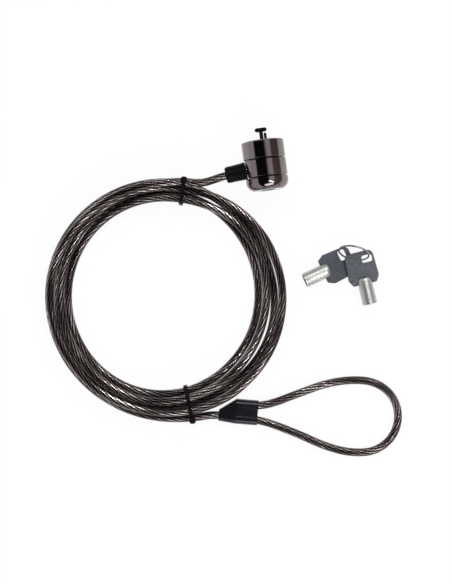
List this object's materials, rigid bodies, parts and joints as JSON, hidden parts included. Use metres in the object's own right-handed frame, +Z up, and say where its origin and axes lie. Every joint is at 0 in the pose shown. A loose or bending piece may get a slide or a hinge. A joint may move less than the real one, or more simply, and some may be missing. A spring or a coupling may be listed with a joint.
{
  "type": "laptop cable lock",
  "caption": "Cable lock for a laptop: round tubular-key lock head with a swivelling collar, coiled coated steel cable ending in a loop, and two keys on a ring.",
  "frame": {"origin": "middle of the footprint of the lock head and the two keys, on the desk plane", "axes": "+Z up from the desk, +X to the right and +Y to the top of the plan view, roughly the way that the head's locking bar points"},
  "size_m": [0.1959, 0.1793, 0.023],
  "materials": {
    "head_metal": "polished black nickel plating",
    "bar_metal": "black plated steel, glossy",
    "core_brass": "turned brass, satin",
    "pin_steel": "bright steel",
    "spring_steel": "spring steel",
    "face_rubber": "matt rubber",
    "sleeve_rubber": "smooth soft plastic, satin",
    "cable_coat": "smoke-tinted clear coat over steel strands, glossy",
    "loop_plastic": "moulded black plastic, glossy ridges",
    "crimp_metal": "pressed",
    "tie_plastic": "black nylon",
    "key_metal": "nickel plated",
    "bow_plastic": "blue-grey moulded plastic",
    "ring_metal": "plain steel wire"
  },
  "bodies": {
    "cable": {"cable_stop": "pin_steel", "cable_sleeve": "sleeve_rubber", "cable_lead": "cable_coat", "cable_coil": "cable_coat", "cable_tail": "cable_coat", "cable_loop": "cable_coat", "loop_crimp": "crimp_metal", "loop_sleeve": "loop_plastic", "upper_tie": "tie_plastic", "lower_tie": "tie_plastic"},
    "collar": {"swivel_collar": "head_metal"},
    "lock_body": {"front_housing": "head_metal", "face_pad": "face_rubber", "guide_pin": "bar_metal", "core_barrel": "core_brass", "pin_block": "core_brass", "retaining_pin": "pin_steel", "driver_pins": "pin_steel", "pin_springs": "spring_steel", "thrust_washer": "pin_steel", "keyway_bezel": "head_metal"},
    "rotor": {"rotor": "pin_steel", "locking_bar": "bar_metal", "key_pins": "pin_steel"},
    "ring": {"key_ring": "ring_metal"},
    "key_1": {"key_1_barrel": "key_metal", "key_1_bow": "bow_plastic"},
    "key_2": {"key_2_barrel": "key_metal", "key_2_bow": "bow_plastic"}
  },
  "joints": [
    {"name": "collar_pivot", "type": "hinge", "parent": "cable", "child": "collar", "pos_m": [-0.03499, 0.02469, 0.0115], "axis": [-0.9744, -0.225, 0], "continuous": true},
    {"name": "head_swivel", "type": "hinge", "parent": "collar", "child": "lock_body", "pos_m": [-0.02457, 0.02606, 0.0115], "axis": [-0.1305, 0.9914, 0], "continuous": true},
    {"name": "key_turn", "type": "hinge", "parent": "lock_body", "child": "rotor", "pos_m": [-0.02457, 0.02606, 0.0115], "axis": [-0.1305, 0.9914, 0], "range_deg": [0, 90]},
    {"name": "ring_lift", "type": "slide", "parent": "cable", "child": "ring", "axis": [0, 0, 1], "range_m": [0, 0.02]},
    {"name": "key_1_swing", "type": "hinge", "parent": "ring", "child": "key_1", "pos_m": [0.01751, -0.02076, 0.00323], "axis": [0.0569, 0.0265, 0.998], "range_deg": [-12, 15]},
    {"name": "key_2_swing", "type": "hinge", "parent": "ring", "child": "key_2", "pos_m": [0.03071, -0.02266, 0.00595], "axis": [0.0194, -0.0778, 0.9968], "range_deg": [-12, 15]}
  ]
}
